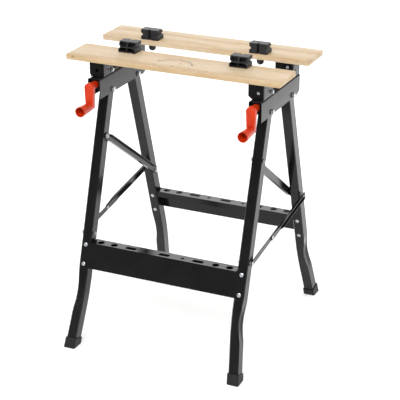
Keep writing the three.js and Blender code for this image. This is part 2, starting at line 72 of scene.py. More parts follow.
def addNode(tree, kind, settings=None, links=None):
    node = tree.nodes.new(kind)
    for name, value in (settings or {}).items():
        if name == "stops":
            ramp = node.color_ramp.elements
            while len(ramp) < len(value):
                ramp.new(0.5)
            for element, (place, colour) in zip(ramp, value):
                element.position = place
                element.color = linear(colour) if isinstance(colour, str) else (colour, colour, colour, 1.0)
        elif isinstance(name, int) or not hasattr(node, name):
            node.inputs[name].default_value = value
        else:
            setattr(node, name, value)
    for name, source in (links or {}).items():
        tree.links.new(source, node.inputs[name])
    return node


def newMaterial(name):
    material = bpy.data.materials.new(name)
    material.use_nodes = True
    material.node_tree.nodes.clear()
    return material, material.node_tree


def endMaterial(tree, settings, links):
    shader = addNode(tree, "ShaderNodeBsdfPrincipled", settings, links)
    addNode(tree, "ShaderNodeOutputMaterial", {}, {"Surface": shader.outputs["BSDF"]})


def perMillimetre(size):
    # texture scale, in metres, of a pattern whose cells are that many millimetres wide
    return 1.0 / (size * mm)


def grainScale(length, width):
    # texture scale of cells that long along the board and that wide across it, in millimetres
    return perMillimetre(length), perMillimetre(width), perMillimetre(width)


# Softwood board, planed and sanded, clear sealed: pale straw, soft mottling, short brown flecks along the
# grain. Lengths are in millimetres, the heart of the log and how far the growth bands wander in metres.
boardWood = {
    "pale": "#c1b097", "mid": "#bca88c", "late": "#b49d7a", "fleck": "#9a7a50", "knot": "#7d6242",
    "cloudDark": "#e7d3b4", "cloudLight": "#fffdf8", "clouding": 0.5,
    "wanderLength": 300, "wanderWidth": 60, "wander": (0.0, 0.04, 0.04), "heart": (0.0, 0.03, -0.70),
    "bandGap": 43.98, "mottleLength": 70, "mottleWidth": 8, "fleckLength": 17, "fleckWidth": 2.2,
    "knotLength": 95, "knotWidth": 47.5, "roughness": (0.48, 0.65), "relief": 0.10, "reliefDepth": 0.3,
}
# the wave texture runs through this many radians in one unit of its scale
waveRadians = 20


def makeBoardWood(s):
    material, tree = newMaterial("softwood_planed_sanded_sealed")
    place = addNode(tree, "ShaderNodeTexCoord").outputs["Object"]
    slow = addNode(tree, "ShaderNodeMapping", {"Scale": grainScale(s["wanderLength"], s["wanderWidth"])},
                   {"Vector": place})
    drift = addNode(tree, "ShaderNodeTexNoise", {"Scale": 1.0, "Detail": 3.0},
                    {"Vector": slow.outputs["Vector"]})
    lift = addNode(tree, "ShaderNodeMapping", {"Location": s["heart"]}, {"Vector": place})
    bend = addNode(tree, "ShaderNodeVectorMath", {"operation": "MULTIPLY", 1: s["wander"]},
                   {0: drift.outputs["Color"]})
    bowed = addNode(tree, "ShaderNodeVectorMath", {"operation": "ADD"},
                    {0: lift.outputs["Vector"], 1: bend.outputs["Vector"]})
    # bands of growth about an axis away from the board, so the top has lines and the ends have arcs
    bands = addNode(tree, "ShaderNodeTexWave", {
        "wave_type": "RINGS", "rings_direction": "X", "wave_profile": "SIN", "Distortion": 1.5, "Detail": 2.0,
        "Detail Scale": 1.5, "Scale": perMillimetre(s["bandGap"]) * 2 * math.pi / waveRadians},
        {"Vector": bowed.outputs["Vector"]})
    ground = addNode(tree, "ShaderNodeValToRGB", {
        "stops": [(0.0, s["pale"]), (0.55, s["mid"]), (1.0, s["late"])]}, {"Fac": bands.outputs["Fac"]})
    mottle = addNode(tree, "ShaderNodeMapping", {"Scale": grainScale(s["mottleLength"], s["mottleWidth"])},
                     {"Vector": place})
    clouds = addNode(tree, "ShaderNodeTexNoise", {"Scale": 1.0, "Detail": 4.0, "Roughness": 0.6},
                     {"Vector": mottle.outputs["Vector"]})
    tone = addNode(tree, "ShaderNodeValToRGB", {"stops": [(0.32, s["cloudDark"]), (0.68, s["cloudLight"])]},
                   {"Fac": clouds.outputs["Fac"]})
    toned = addNode(tree, "ShaderNodeMix", {"data_type": "RGBA", "blend_type": "MULTIPLY", 0: s["clouding"]},
                    {6: ground.outputs["Color"], 7: tone.outputs["Color"]})
    # real flecks are half as wide; these are drawn coarse enough to show from where the picture is taken
    stretch = addNode(tree, "ShaderNodeMapping", {"Scale": grainScale(s["fleckLength"], s["fleckWidth"])},
                      {"Vector": place})
    fibres = addNode(tree, "ShaderNodeTexNoise", {"Scale": 1.0, "Detail": 3.0, "Roughness": 0.6},
                     {"Vector": stretch.outputs["Vector"]})
    fleckMask = addNode(tree, "ShaderNodeValToRGB", {"stops": [(0.56, 0.0), (0.74, 0.55)]},
                        {"Fac": fibres.outputs["Fac"]})
    flecked = addNode(tree, "ShaderNodeMix", {"data_type": "RGBA", 7: linear(s["fleck"])},
                      {0: fleckMask.outputs["Color"], 6: toned.outputs[2]})
    # pin knots, drawn out along the grain
    sparse = addNode(tree, "ShaderNodeMapping", {"Scale": grainScale(s["knotLength"], s["knotWidth"])},
                     {"Vector": place})
    spots = addNode(tree, "ShaderNodeTexVoronoi", {"Scale": 1.0, "Randomness": 1.0},
                    {"Vector": sparse.outputs["Vector"]})
    knotMask = addNode(tree, "ShaderNodeValToRGB", {"stops": [(0.03, 0.8), (0.075, 0.0)]},
                       {"Fac": spots.outputs["Distance"]})
    knotted = addNode(tree, "ShaderNodeMix", {"data_type": "RGBA", 7: linear(s["knot"])},
                      {0: knotMask.outputs["Color"], 6: flecked.outputs[2]})
    smooth, rough = s["roughness"]
    gloss = addNode(tree, "ShaderNodeMapRange", {"To Min": smooth, "To Max": rough},
                    {"Value": fibres.outputs["Fac"]})
    relief = addNode(tree, "ShaderNodeBump", {"Strength": s["relief"], "Distance": s["reliefDepth"] * mm},
                     {"Height": fibres.outputs["Fac"]})
    endMaterial(tree, {"IOR": 1.5}, {
        "Base Color": knotted.outputs[2], "Roughness": gloss.outputs["Result"],
        "Normal": relief.outputs["Normal"]})
    return material


# Mild steel, powder coated black: deep black face on, grey sheen at a slant, faint orange peel.
blackCoat = {"dark": "#070708", "light": "#0d0d0e", "peel": 1.6, "cloud": 70, "roughness": (0.11, 0.25),
             "ior": 1.36, "relief": 0.06, "reliefDepth": 0.2}
# Mild steel, powder coated black like the legs: the rails and the brackets under the boards, with the colour
# painted a little lighter as painted light for the brighter sheen they catch from the right.
railCoatPaintedLighter = {"dark": "#151517", "light": "#1d1d1f", "peel": 1.6, "cloud": 60, "roughness": (0.15, 0.29),
            "ior": 1.31, "relief": 0.06, "reliefDepth": 0.2}


def makeCoat(name, s):
    material, tree = newMaterial(name)
    place = addNode(tree, "ShaderNodeTexCoord").outputs["Object"]
    peel = addNode(tree, "ShaderNodeTexNoise", {"Scale": perMillimetre(s["peel"]), "Detail": 2.0},
                   {"Vector": place})
    cloud = addNode(tree, "ShaderNodeTexNoise", {"Scale": perMillimetre(s["cloud"]), "Detail": 4.0},
                    {"Vector": place})
    colour = addNode(tree, "ShaderNodeValToRGB", {"stops": [(0.3, s["dark"]), (0.7, s["light"])]},
                     {"Fac": cloud.outputs["Fac"]})
    smooth, rough = s["roughness"]
    gloss = addNode(tree, "ShaderNodeMapRange", {"To Min": smooth, "To Max": rough},
                    {"Value": cloud.outputs["Fac"]})
    relief = addNode(tree, "ShaderNodeBump", {"Strength": s["relief"], "Distance": s["reliefDepth"] * mm},
                     {"Height": peel.outputs["Fac"]})
    endMaterial(tree, {"IOR": s["ior"]}, {
        "Base Color": colour.outputs["Color"], "Roughness": gloss.outputs["Result"],
        "Normal": relief.outputs["Normal"]})
    return material


# Steel, bright zinc plated: cold silver with a slightly blotchy passivated film.
zincPlate = {"dark": "#9a9ea3", "light": "#c6c9cd", "film": 3.0, "roughness": (0.23, 0.43),
             "relief": 0.08, "reliefDepth": 0.1}
# Brass, turned and drilled: warm yellow, slightly uneven.
turnedBrass = {"dark": "#a87c33", "light": "#cfa655", "film": 2.0, "roughness": (0.22, 0.42),
               "relief": 0.08, "reliefDepth": 0.1}


def makePlate(name, s):
    material, tree = newMaterial(name)
    place = addNode(tree, "ShaderNodeTexCoord").outputs["Object"]
    film = addNode(tree, "ShaderNodeTexNoise", {"Scale": perMillimetre(s["film"]), "Detail": 5.0},
                   {"Vector": place})
    colour = addNode(tree, "ShaderNodeValToRGB", {"stops": [(0.3, s["dark"]), (0.7, s["light"])]},
                     {"Fac": film.outputs["Fac"]})
    smooth, rough = s["roughness"]
    gloss = addNode(tree, "ShaderNodeMapRange", {"To Min": smooth, "To Max": rough},
                    {"Value": film.outputs["Fac"]})
    relief = addNode(tree, "ShaderNodeBump", {"Strength": s["relief"], "Distance": s["reliefDepth"] * mm},
                     {"Height": film.outputs["Fac"]})
    endMaterial(tree, {"Metallic": 1.0}, {
        "Base Color": colour.outputs["Color"], "Roughness": gloss.outputs["Result"],
        "Normal": relief.outputs["Normal"]})
    return material


# Polyamide, injection moulded black, spark-eroded tool: satin black end blocks, bushes and glides.
blackNylon = {"dark": "#050505", "light": "#0b0b0c", "grit": 0.9, "cloud": 18, "roughness": (0.33, 0.45),
              "ior": 1.53, "specular": 0.11, "relief": 0.12, "reliefDepth": 0.15}
# Polyamide, injection moulded dark grey: the jaw pegs, a little worn to lighter grey.
greyNylon = {"dark": "#18181a", "light": "#222224", "grit": 0.9, "cloud": 14, "roughness": (0.39, 0.51),
             "ior": 1.53, "specular": 0.26, "relief": 0.14, "reliefDepth": 0.15}
# Soft vinyl, moulded black: the leg caps, matt and a little dusty.
softVinyl = {"dark": "#0a0a0b", "light": "#131315", "grit": 1.3, "cloud": 12, "roughness": (0.51, 0.63),
             "ior": 1.52, "specular": 0.3, "relief": 0.2, "reliefDepth": 0.15}
# Polypropylene, injection moulded orange red, polished tool: the cranks, glossy with slight flow marks.
orangePoly = {"dark": "#ab2505", "light": "#c03409", "grit": 2.2, "cloud": 24, "roughness": (0.25, 0.37),
              "ior": 1.49, "specular": 0.3, "relief": 0.05, "reliefDepth": 0.15}


def makeMoulding(name, s):
    material, tree = newMaterial(name)
    place = addNode(tree, "ShaderNodeTexCoord").outputs["Object"]
    grit = addNode(tree, "ShaderNodeTexNoise", {"Scale": perMillimetre(s["grit"]), "Detail": 3.0},
                   {"Vector": place})
    cloud = addNode(tree, "ShaderNodeTexNoise", {"Scale": perMillimetre(s["cloud"]), "Detail": 3.0},
                    {"Vector": place})
    colour = addNode(tree, "ShaderNodeValToRGB", {"stops": [(0.3, s["dark"]), (0.7, s["light"])]},
                     {"Fac": cloud.outputs["Fac"]})
    smooth, rough = s["roughness"]
    gloss = addNode(tree, "ShaderNodeMapRange", {"To Min": smooth, "To Max": rough},
                    {"Value": grit.outputs["Fac"]})
    relief = addNode(tree, "ShaderNodeBump", {"Strength": s["relief"], "Distance": s["reliefDepth"] * mm},
                     {"Height": grit.outputs["Fac"]})
    endMaterial(tree, {"IOR": s["ior"], "Specular IOR Level": s["specular"]}, {
        "Base Color": colour.outputs["Color"], "Roughness": gloss.outputs["Result"],
        "Normal": relief.outputs["Normal"]})
    return material


# Scale marks burnt into the wood: grey brown lines, uneven along their length.
scorch = {"dark": "#87776a", "light": "#a08d7a", "uneven": 4.0, "roughness": 0.7}
# The same marks where the iron stayed longer: the protractor's right end, its centre and the ticks.
deepScorch = {"dark": "#6f6259", "light": "#8c7a69", "uneven": 3.0, "roughness": 0.7}


def makeScorch(name, s):
    material, tree = newMaterial(name)
    place = addNode(tree, "ShaderNodeTexCoord").outputs["Object"]
    uneven = addNode(tree, "ShaderNodeTexNoise", {"Scale": perMillimetre(s["uneven"]), "Detail": 3.0},
                     {"Vector": place})
    colour = addNode(tree, "ShaderNodeValToRGB", {"stops": [(0.35, s["dark"]), (0.7, s["light"])]},
                     {"Fac": uneven.outputs["Fac"]})
    endMaterial(tree, {"Roughness": s["roughness"], "IOR": 1.5}, {"Base Color": colour.outputs["Color"]})
    return material


finishes = {
    "pale_wood": makeBoardWood(boardWood),
    "black_paint": makeCoat("mild_steel_powder_coated_black", blackCoat),
    # the rails' black coat, its colour painted lighter as painted light
    "grey_paint": makeCoat("mild_steel_powder_coated_black_painted_lighter", railCoatPaintedLighter),
    "zinc_steel": makePlate("steel_bright_zinc_plated", zincPlate),
    "brass": makePlate("brass_turned", turnedBrass),
    "black_plastic": makeMoulding("polyamide_moulded_black", blackNylon),
    "grey_plastic": makeMoulding("polyamide_moulded_dark_grey", greyNylon),
    "orange_plastic": makeMoulding("polypropylene_moulded_orange", orangePoly),
}
capVinyl = makeMoulding("vinyl_moulded_black", softVinyl)
scaleMark = makeScorch("softwood_scorched_faint", scorch)
tickMark = makeScorch("softwood_scorched_brown", deepScorch)
print("materials made")


# Edge rounding of the carried-over solids, in millimetres: each piece as its process leaves it.
edgeRound = {
    "board": 0.5, "rail": 0.35, "jaw_foot": 0.35, "end_block": 0.7, "spindle_bush": 0.4, "crank": 0.6,
    "carriage": 0.35, "glide": 0.6, "dog": 1.0, "leg": 0.6, "foot_cap": 1.2, "crossbar": 0.3,
}
# How meshes are joined, rounded and shaded: points this close in millimetres are one, and in degrees, faces
# this flat are one, edges this sharp are rounded and edges this sharp show in the shading.
skin = {"samePoint": 0.005, "flat": 0.5, "corner": 40, "segments": 2, "crease": 35}
finishOf = {part["node"]: part["material_slot"] for part in frame["record"]["subparts"]}


def shadeByAngle(mesh):
    if "custom_normal" in mesh.attributes:
        mesh.attributes.remove(mesh.attributes["custom_normal"])
    mesh.shade_smooth()
    mesh.set_sharp_from_angle(angle=math.radians(skin["crease"]))


def roundEdges(solid, radius):
    weld = solid.modifiers.new("joinCorners", "WELD")
    weld.merge_threshold = skin["samePoint"] * mm
    flat = solid.modifiers.new("mergeFlats", "DECIMATE")
    flat.decimate_type = "DISSOLVE"
    flat.angle_limit = math.radians(skin["flat"])
    rounding = solid.modifiers.new("edgeRounding", "BEVEL")
    rounding.width = radius * mm
    rounding.segments = skin["segments"]
    rounding.limit_method = "ANGLE"
    rounding.angle_limit = math.radians(skin["corner"])
    rounding.use_clamp_overlap = True
    rounding.harden_normals = True


def dressSolid(name, solid):
    material = capVinyl if name.endswith("foot_cap") else finishes[finishOf[name]]
    solid.data.materials.clear()
    solid.data.materials.append(material)
    shadeByAngle(solid.data)
    for key, radius in edgeRound.items():
        if key in name:
            roundEdges(solid, radius)
            break


for name, solid in nodes.items():
    dressSolid(name, solid)
print("solids dressed:", len(nodes))


def addPiece(name, work, material, body, stands=()):
    mesh = bpy.data.meshes.new(name)
    bmesh.ops.recalc_face_normals(work, faces=work.faces)
    work.to_mesh(mesh)
    work.free()
    mesh.materials.append(material)
    shadeByAngle(mesh)
    piece = bpy.data.objects.new(name, mesh)
    bpy.context.scene.collection.objects.link(piece)
    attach(piece, body)
    if stands:
        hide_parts(*stands)
    return piece


def middleOf(node):
    low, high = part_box(node)
    return (low + high) / 2


def outwardPlace(hand, y, z, turn=0.0):
    # place with X pointing outwards from the middle of that hand's rail, turned about X
    side = 1 if hand == "right" else -1
    return (Matrix.Translation((middleOf(hand + "_rail").x, y, z)) @ Matrix.Rotation(turn, 4, "X")
            @ Matrix.Scale(side, 4, (1, 0, 0)))


def solidCopy(node, place):
    # the solid as a mesh to work on, its points joined and moved into the frame of place
    work = bmesh.new()
    work.from_mesh(nodes[node].data)
    bmesh.ops.remove_doubles(work, verts=work.verts, dist=skin["samePoint"] * mm)
    work.transform(place.inverted())
    return work


def addRings(work, rings):
    # closed skin over a row of equal point rings, capped at both ends
    rows = [[work.verts.new(point) for point in ring] for ring in rings]
    count = len(rows[0])
    for low, high in zip(rows, rows[1:]):
        for i in range(count):
            j = (i + 1) % count
            work.faces.new((low[i], low[j], high[j], high[i]))
    work.faces.new(rows[0][::-1])
    work.faces.new(rows[-1])


def pointAround(place, along, radius, angle):
    # point that far along the X axis of place and that far from it, in millimetres
    return place @ (Vector((along, radius * math.cos(angle), radius * math.sin(angle))) * mm)


def turned(work, profile, place, sides=24):
    # profile of (along, radius) in millimetres, turned about the X axis of place
    angles = [2 * math.pi * i / sides for i in range(sides)]
    addRings(work, [[pointAround(place, along, radius, a) for a in angles] for along, radius in profile])


# Hexagon heads and nuts as cold formed: the corners are turned off at the outer end.
hexForm = {"sides": 36, "faceShare": 0.96, "slope": 0.6}


def hexagon(work, start, end, across, place, s=hexForm):
    apothem = across / 2
    face = apothem * s["faceShare"]
    step = 1 if end > start else -1
    rows = [[], [], []]
    for i in range(s["sides"]):
        angle = 2 * math.pi * i / s["sides"]
        fold = (angle + math.pi / 6) % (math.pi / 3) - math.pi / 6
        radius = apothem / math.cos(fold)
        drop = (radius - face) * s["slope"]
        for row, (along, reach) in zip(rows, ((start, radius), (end - step * drop, radius), (end, face))):
            row.append(pointAround(place, along, reach, angle))
    addRings(work, rows)


# Leg tubes as bent cold in a press: the bend is eased, and the wall facing away from the bench's middle is
# pushed in around it. Lengths run down the leg from its pivot bolt; the legs tilt from upright in degrees.
legTilt = 17.5
pressedLeg = {"bend": 563.0, "lean": 0.0921, "ease": 50.0, "dent": 553.0, "reach": 68.0, "rings": 20, "rows": 10,
              "halfWidth": 14.0, "halfDepth": 16.25, "pushFrom": -3.0, "cornerIn": 2.6, "middleIn": 5.6,
              "bulge": 1.9, "cutTolerance": 0.01, "wholeLeg": 1000.0}


def kinkAxis(depth, s):
    # how far the tube's middle has moved outwards at that depth, with the sharp corner and with the eased one
    past = depth - s["bend"]
    sharp = max(0.0, past) * s["lean"]
    if abs(past) >= s["ease"]:
        return sharp, sharp
    return sharp, s["lean"] * (past + s["ease"]) ** 2 / (4 * s["ease"])


def cutAcross(work, normal, place, low, high, s):
    # one more row of points over the stretch of the tube between two depths
    zone = [f for f in work.faces if low < -f.calc_center_median().z < high]
    parts = zone + list({e for f in zone for e in f.edges}) + list({v for f in zone for v in f.verts})
    bmesh.ops.bisect_plane(work, geom=parts, plane_co=place, plane_no=normal, dist=s["cutTolerance"] * mm)


def pushWall(point, s):
    across, depth = point.co.x / mm, -point.co.z / mm
    span = (depth - s["dent"]) / s["reach"]
    if abs(span) >= 1:
        return
    sharp, eased = kinkAxis(depth, s)
    across -= sharp
    along = math.cos(math.pi / 2 * span) ** 2
    outer = min(1.0, max(0.0, (across - s["pushFrom"]) / s["halfWidth"]))
    aside = point.co.y / mm / s["halfDepth"]
    push = s["cornerIn"] + s["middleIn"] * max(0.0, 1 - aside * aside)
    swell = s["bulge"] * along * math.sin(math.pi * (across / s["halfWidth"] + 1) / 2) * aside
    point.co.x = (across + eased - push * along * outer ** 2) * mm
    point.co.y += swell * mm


def pressLeg(hand, end, s):
    node = hand + "_" + end + "_leg"
    pivot = middleOf(hand + "_" + end + "_pivot_bolt")
    place = outwardPlace(hand, pivot.y, pivot.z, math.copysign(math.radians(legTilt), pivot.y))
    work = solidCopy(node, place)
    low, high = (s["dent"] - s["reach"]) * mm, (s["dent"] + s["reach"]) * mm
    for i in range(s["rings"] + 1):
        depth = low + (high - low) * i / s["rings"]
        cutAcross(work, (0, 0, 1), (0, 0, -depth), 0, s["wholeLeg"] * mm, s)
    for i in range(1, s["rows"]):
        cutAcross(work, (0, 1, 0), (0, (2 * i / s["rows"] - 1) * s["halfDepth"] * mm, 0), low, high, s)
    for point in work.verts:
        pushWall(point, s)
    work.transform(place)
    leg = addPiece(node + "_pressed", work, finishes["black_paint"], end + "_stand", [node])
    roundEdges(leg, edgeRound["leg"])


for hand in hands:
    for end in ends:
        pressLeg(hand, end, pressedLeg)
print("legs pressed")


# Folding stays' upper halves as pressed from strip: deep flanges, and the upper one runs on to the knee.
# Along the stay from its rear pivot, across it from the middle, depth along X from the middle of the leg.
pressedChannel = {"half": 7.75, "sheet": 1.6, "wider": 0.9, "web": 21.3, "deeper": 1.3, "boltClear": 4.0,
                  "lip": (150.0, 182.0, 236.0, 238.5)}


def runLip(along, lip):
    # carries the flange's end from lip[1] to lip[2], and leaves both ends of the stretch where they are
    first, end, newEnd, last = lip
    if along <= first or along >= last:
        return along
    if along <= end:
        return first + (along - first) * (newEnd - first) / (end - first)
    return newEnd + (along - end) * (last - newEnd) / (last - end)


def pressChannel(hand, s):
    node = hand + "_stay_channel"
    rear = middleOf(hand + "_rear_stay_bolt")
    knee = middleOf(hand + "_knee_rivet")
    place = outwardPlace(hand, rear.y, rear.z, math.atan2(knee.z - rear.z, knee.y - rear.y))
    work = solidCopy(node, place)
    flange = s["half"] - s["sheet"]
    for point in work.verts:
        depth, along, across = point.co / mm
        edge = min(1.0, max(0.0, (abs(across) - s["boltClear"]) / (flange - s["boltClear"])))
        if across < 0:
            along += (runLip(along, s["lip"]) - along) * edge
        if depth > s["web"]:
            depth = s["web"] + (depth - s["web"]) * s["deeper"]
        across += math.copysign(s["wider"] * edge, across)
        point.co = Vector((depth, along, across)) * mm
    work.transform(place)
    addPiece(node + "_pressed", work, finishes["black_paint"], hand + "_outer_brace", [node])


for hand in hands:
    pressChannel(hand, pressedChannel)
print("stay channels pressed")


# Hexagon-headed screws with washers and lock nuts; lengths along X from the middle of the rail.
screwForm = {"seat": 18.3, "sunk": 1.0, "tail": 4.6, "tailStraight": 4.0, "tailTaper": 0.8, "washerEdge": 0.2,
             "collarShare": 0.9, "collarHalf": 0.5, "collarEnd": 0.9, "collarTaper": 0.8}
pivotScrew = {**screwForm, "shank": 4.0, "head": 13.0, "washer": 7.4, "washerThick": 1.0, "length": 4.0,
              "nutLength": 3.6}
footScrew = {**screwForm, "shank": 3.0, "head": 10.0, "washer": 6.0, "washerThick": 0.8, "length": 3.2,
             "nutLength": 2.6}


def throughScrew(hand, kind, s):
    node = hand + "_" + kind
    middle = middleOf(node)
    place = outwardPlace(hand, middle.y, middle.z)
    work = bmesh.new()
    seat, shank, rim = s["seat"], s["shank"], s["washer"] - s["washerEdge"]
    under = seat + s["washerThick"]
    nutEnd = -under - s["nutLength"]
    turned(work, [(-seat - s["tail"], shank - s["tailTaper"]), (-seat - s["tailStraight"], shank),
                  (seat + s["sunk"], shank)], place)
    for way in (1, -1):
        turned(work, [(way * seat, rim), (way * (seat + s["washerEdge"]), s["washer"]), (way * under, rim)], place)
    hexagon(work, under, under + s["length"], s["head"], place)
    hexagon(work, nutEnd, -under, s["head"], place)
    collar = s["head"] / 2 * s["collarShare"]
    turned(work, [(nutEnd + s["collarHalf"], collar), (nutEnd - s["collarHalf"], collar),
                  (nutEnd - s["collarEnd"], collar - s["collarTaper"])], place)
    addPiece(node + "_screw", work, finishes["zinc_steel"], "top", [node])


for hand in hands:
    throughScrew(hand, "front_pivot_bolt", pivotScrew)
    throughScrew(hand, "rear_pivot_bolt", pivotScrew)
    throughScrew(hand, "foot_bolt", footScrew)
print("rail screws made")


# Shallow domed heads with a small straight rim: rim as a share of the height, angles in degrees.
domeForm = {"steps": 4, "first": 15, "last": 87, "rim": 0.25, "swell": 1.2}
# Domed rivets that hold the crossbars to the legs; along the leg from its pivot, both ends show.
barRivet = {"radius": 5.6, "tailRadius": 5.3, "height": 1.7, "downs": (428.3, 481.8), "barFace": 18.15,
            "legFace": 16.25, "sides": 20}


def domeProfile(start, radius, height, s=domeForm):
    points = [(start, radius)]
    for i in range(s["steps"] + 1):
        angle = math.radians(s["first"] + (s["last"] - s["first"]) * i / s["steps"])
        rise = s["rim"] + (1 - s["rim"]) * math.sin(angle) ** s["swell"]
        points.append((start + height * rise, radius * math.cos(angle)))
    return points


def barRivets(end, s):
    way = -1 if end == "front" else 1
    work = bmesh.new()
    for hand in hands:
        pivot = middleOf(hand + "_" + end + "_pivot_bolt")
        leg = Matrix.Translation(pivot) @ Matrix.Rotation(math.radians(way * legTilt), 4, "X")
        for down in s["downs"]:
            spot = leg @ Matrix.Translation((0, 0, -down * mm))
            outward = spot @ Matrix.Rotation(math.radians(90 * way), 4, "Z")
            inward = spot @ Matrix.Rotation(math.radians(-90 * way), 4, "Z")
            turned(work, domeProfile(s["barFace"], s["radius"], s["height"]), outward, s["sides"])
            turned(work, domeProfile(s["legFace"], s["tailRadius"], s["height"]), inward, s["sides"])
    addPiece(end + "_stand_rivets", work, finishes["zinc_steel"], end + "_stand")


for end in ends:
    barRivets(end, barRivet)
print("crossbar rivets made")


# Bolts, pins and rivets of the folding stays, along X from the middle of the leg, outward positive:
# hexagons as (start, end, across), domes as (start, radius, height), turned parts as (along, radius).
stayFasteners = {
    "upper_stay_bolt": {
        "body": "front_stand", "hexes": ((15.1, 18.4, 10.0), (-17.1, -20.4, 10.0)), "domes": (),
        "turned": (((-22.2, 2.3), (-21.6, 3.0), (16.0, 3.0)), ((14.3, 5.8), (14.5, 6.0), (15.1, 5.8)),
                   ((-16.3, 5.8), (-16.5, 6.0), (-17.1, 5.8)), ((-20.0, 4.6), (-21.0, 4.6), (-21.4, 3.9)))},
    "rear_stay_bolt": {
        "body": "rear_stand", "hexes": ((22.4, 25.6, 10.0),), "domes": (),
        "turned": (((-14.0, 2.4), (-13.4, 3.0), (23.0, 3.0)), ((14.3, 5.0), (19.5, 5.0)),
                   ((21.6, 5.8), (21.8, 6.0), (22.4, 5.8)))},
    "inner_stay_nut": {
        "body": "{hand}_inner_brace", "at": "rear_stay_bolt", "hexes": ((-17.1, -20.4, 10.0),), "domes": (),
        "turned": (((-22.2, 2.3), (-21.6, 3.0), (-16.5, 3.0)), ((-16.3, 5.8), (-16.5, 6.0), (-17.1, 5.8)),
                   ((-20.0, 4.6), (-21.0, 4.6), (-21.4, 3.9)))},
    "lower_stay_nut": {
        "body": "front_stand", "hexes": ((-15.1, -18.2, 10.0),), "domes": (),
        "turned": (((-20.6, 2.3), (-20.0, 3.0), (14.0, 3.0)), ((-14.3, 5.8), (-14.5, 6.0), (-15.1, 5.8)),
                   ((-17.8, 4.6), (-18.9, 4.6), (-19.3, 3.9)))},
    "lower_stay_pin": {
        "body": "{hand}_brace_link", "hexes": (), "domes": ((19.8, 5.4, 2.6),),
        "turned": (((16.0, 3.0), (20.5, 3.0)), ((14.3, 4.8), (14.5, 5.0), (16.7, 5.0)))},
    "knee_rivet": {
        "body": "{hand}_outer_brace", "hexes": (), "domes": ((21.6, 5.2, 2.2), (16.7, 5.0, -1.8)),
        "turned": (((15.8, 3.0), (22.4, 3.0)),)},
}


def stayFastener(hand, kind, s):
    node = hand + "_" + s.get("at", kind)
    middle = middleOf(node)
    place = outwardPlace(hand, middle.y, middle.z)
    work = bmesh.new()
    for profile in s["turned"]:
        turned(work, profile, place)
    for start, end, across in s["hexes"]:
        hexagon(work, start, end, across, place)
    for start, radius, height in s["domes"]:
        turned(work, domeProfile(start, radius, height), place)
    stands = () if "at" in s else (node,)
    name = hand + "_" + kind + "_formed"
    addPiece(name, work, finishes["zinc_steel"], s["body"].format(hand=hand), stands)


for hand in hands:
    for kind, settings in stayFasteners.items():
        stayFastener(hand, kind, settings)
print("stay fasteners made")


# Pan-head screws driven from the front: into the right end block and through each glide's flange.
# The profile is (along, radius) from under the head, in to the socket.
panScrew = {"profile": ((-3.0, 1.8), (0.0, 1.8), (0.0, 3.9), (1.0, 3.9), (1.7, 3.354), (2.0, 2.34), (2.0, 1.7),
                        (0.7, 1.36)),
            "spots": (("right_end_block_screw", (234.0, -135.2, 748.0), "top"),
                      ("left_glide_screw", (-240.0, 50.0, 765.0), "rear_jaw"),
                      ("right_glide_screw", (240.0, 50.0, 765.0), "rear_jaw"))}


def drivePanScrews(s):
    for name, spot, body in s["spots"]:
        place = Matrix.Translation(Vector(spot) * mm) @ Matrix.Rotation(math.radians(-90), 4, "Z")
        work = bmesh.new()
        turned(work, s["profile"], place)
        addPiece(name, work, finishes["zinc_steel"], body)


drivePanScrews(panScrew)
print("pan screws made")


# Trapezoidal screw thread of the vise spindles, 4 mm pitch to match the jaw's travel per turn; lengths along Y.
# A tooth's rise is its crest less the flank's slope times the distance from the tooth's middle, from 0 to 1.
spindleThread = {"pitch": 4.0, "major": 5.0, "minor": 3.9, "tip": 3.6, "front": -171.0, "tipLength": 1.2,
                 "start": -118.0, "runOut": 1.0, "rear": 119.0, "tail": 0.9, "crest": 2.0, "flank": 6.0,
                 "around": 20, "perTurn": 8}


def threadRadius(along, turn, s):
    phase = (along / s["pitch"] - turn) % 1.0
    rise = min(1.0, max(0.0, s["crest"] - abs(phase - 0.5) * s["flank"]))
    return s["minor"] + (s["major"] - s["minor"]) * rise


def threadedSpindle(hand, s):
    axis = middleOf(hand + "_spindle")
    stations = [(s["front"], s["tip"]), (s["front"] + s["tipLength"], s["major"]),
                (s["start"] - s["runOut"], s["major"])]
    count = int((s["rear"] - s["start"]) / s["pitch"] * s["perTurn"])
    stations += [(s["start"] + i * s["pitch"] / s["perTurn"], None) for i in range(count + 1)]
    stations += [(s["rear"] + s["tail"], s["tip"])]
    rows = []
    for along, plain in stations:
        ring = []
        for i in range(s["around"]):
            angle = 2 * math.pi * i / s["around"]
            radius = plain or threadRadius(along, i / s["around"], s)
            ring.append(Vector((axis.x + radius * mm * math.sin(angle), along * mm,
                                axis.z + radius * mm * math.cos(angle))))
        rows.append(ring)
    work = bmesh.new()
    addRings(work, rows)
    name = hand + "_spindle"
    addPiece(name + "_thread", work, finishes["zinc_steel"], hand + "_screw", [name])


for hand in hands:
    threadedSpindle(hand, spindleThread)
print("spindles threaded")


# Crank moulding in one piece: hub, hanging arm and a thin-walled grip that is hollow for over half its length.
# Lengths along Y, the lip's rounding as shares of half the wall.
crankHandle = {"hub": 10.0, "hubNose": 9.0, "hubEase": 0.6, "hubRear": -138.3, "hubFront": -176.0, "socket": 5.3,
               "socketEnd": -171.3, "armFront": -178.0, "armRear": -162.0, "armTop": 13.0, "armLow": 11.0,
               "arcSteps": 14, "throw": 51.0, "edge": 3.0, "edgeSteps": 5, "mouth": -227.0, "mouthRadius": 14.2,
               "rootRadius": 11.4, "rootSunk": 3.0, "flare": 3.0, "flareRise": 0.1, "wall": 1.7, "lipBack": 0.25,
               "lipIn": 0.3, "boreEnd": -198.0, "boreRadius": 9.3, "sides": 32}


